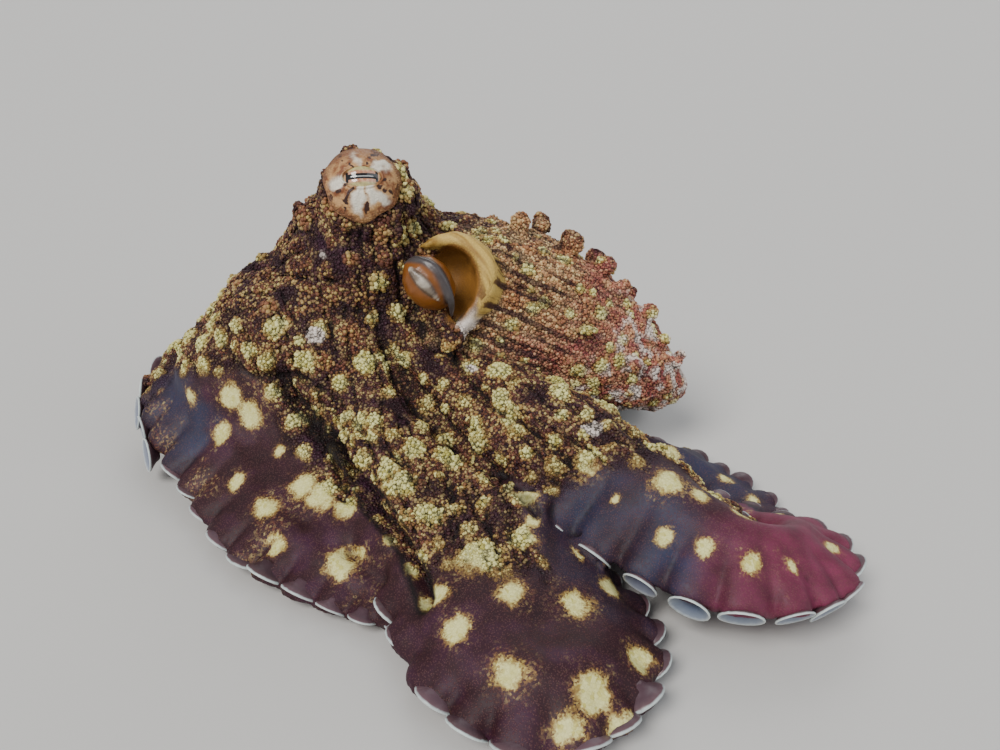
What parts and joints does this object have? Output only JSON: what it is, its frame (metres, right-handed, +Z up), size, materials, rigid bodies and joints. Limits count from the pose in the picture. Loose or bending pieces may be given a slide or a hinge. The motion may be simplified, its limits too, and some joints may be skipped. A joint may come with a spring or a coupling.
{
  "type": "octopus",
  "caption": "Octopus at rest with raised head, sagging sac-like mantle and broad arms swept round it, their edges scalloped with suckers; still life-size model.",
  "frame": {"origin": "on the floor, at the middle of the flat underside of the crown, where the mouth would be", "axes": "+Z up from the floor; the head faces -X, the mantle trails to +X, and the animal's left side faces -Y"},
  "size_m": [0.2541, 0.378, 0.1181],
  "materials": {
    "skin": "wet warty skin, maroon-brown mottled with cream and tan",
    "arm_skin": "wet smooth skin, dark maroon-purple with rows of cream spots and pale sucker rims",
    "funnel_skin": "wet smooth orange-brown skin",
    "eye": "wet eye, orange-brown iris with a dark slit pupil"
  },
  "bodies": {
    "root": {"arm_left_1_base": "arm_skin", "arm_left_1_middle": "arm_skin", "arm_left_1_tip": "arm_skin", "arm_left_2_base": "arm_skin", "arm_left_2_middle": "arm_skin", "arm_left_2_tip": "arm_skin", "arm_left_3_base": "arm_skin", "arm_left_3_middle": "arm_skin", "arm_left_3_tip": "arm_skin", "arm_left_4_base": "arm_skin", "arm_left_4_middle": "arm_skin", "arm_left_4_tip": "arm_skin", "arm_right_1_base": "arm_skin", "arm_right_1_middle": "arm_skin", "arm_right_1_tip": "arm_skin", "arm_right_2_base": "arm_skin", "arm_right_2_middle": "arm_skin", "arm_right_2_tip": "arm_skin", "arm_right_3_base": "arm_skin", "arm_right_3_middle": "arm_skin", "arm_right_3_tip": "arm_skin", "arm_right_4_base": "arm_skin", "arm_right_4_middle": "arm_skin", "arm_right_4_tip": "arm_skin", "crown": "skin", "eye_left": "eye", "eye_right": "eye", "funnel": "funnel_skin", "head": "skin", "mantle": "skin", "turret_left": "skin", "turret_right": "skin", "web_left_1_2": "skin", "web_left_2_3": "skin", "web_left_3_4": "skin", "web_rear": "skin", "web_right_2_1": "skin", "web_right_3_2": "skin", "web_right_4_3": "skin"}
  },
  "joints": []
}
